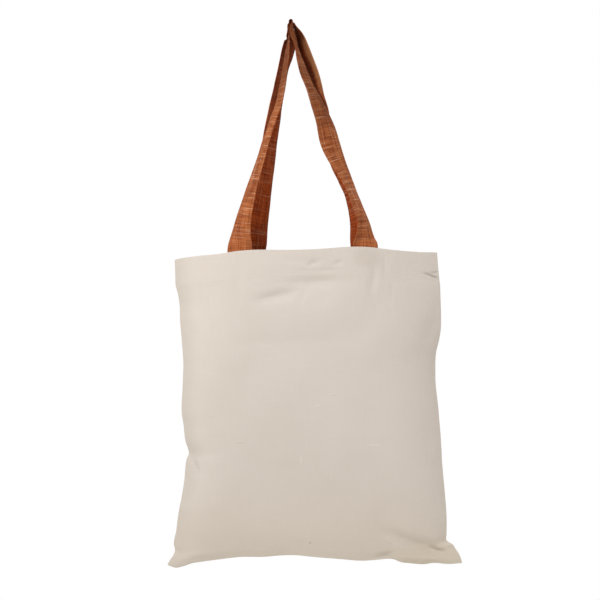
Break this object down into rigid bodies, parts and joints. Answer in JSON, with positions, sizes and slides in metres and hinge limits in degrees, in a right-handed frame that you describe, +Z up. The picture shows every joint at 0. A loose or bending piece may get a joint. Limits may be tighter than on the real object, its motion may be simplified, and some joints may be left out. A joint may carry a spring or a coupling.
{
  "type": "cotton tote bag",
  "caption": "Flat-sewn cotton tote bag with an open hemmed mouth, pinched bottom corners and long handloom straps sewn inside the hem, stored hanging by its straps.",
  "frame": {"origin": "axis of the peg or hook that both straps hang over", "axes": "+Z up, -Y out of the front of the bag, +X to the right seen from the front"},
  "size_m": [0.3803, 0.073, 0.7072],
  "materials": {
    "calico": "unbleached plain-weave cotton, matte, with small slubs",
    "handloom": "rust-brown handwoven cotton with uneven light and dark threads"
  },
  "bodies": {
    "root": {"front_panel": "calico", "back_panel": "calico", "front_strap": "handloom", "back_strap": "handloom"}
  },
  "joints": []
}
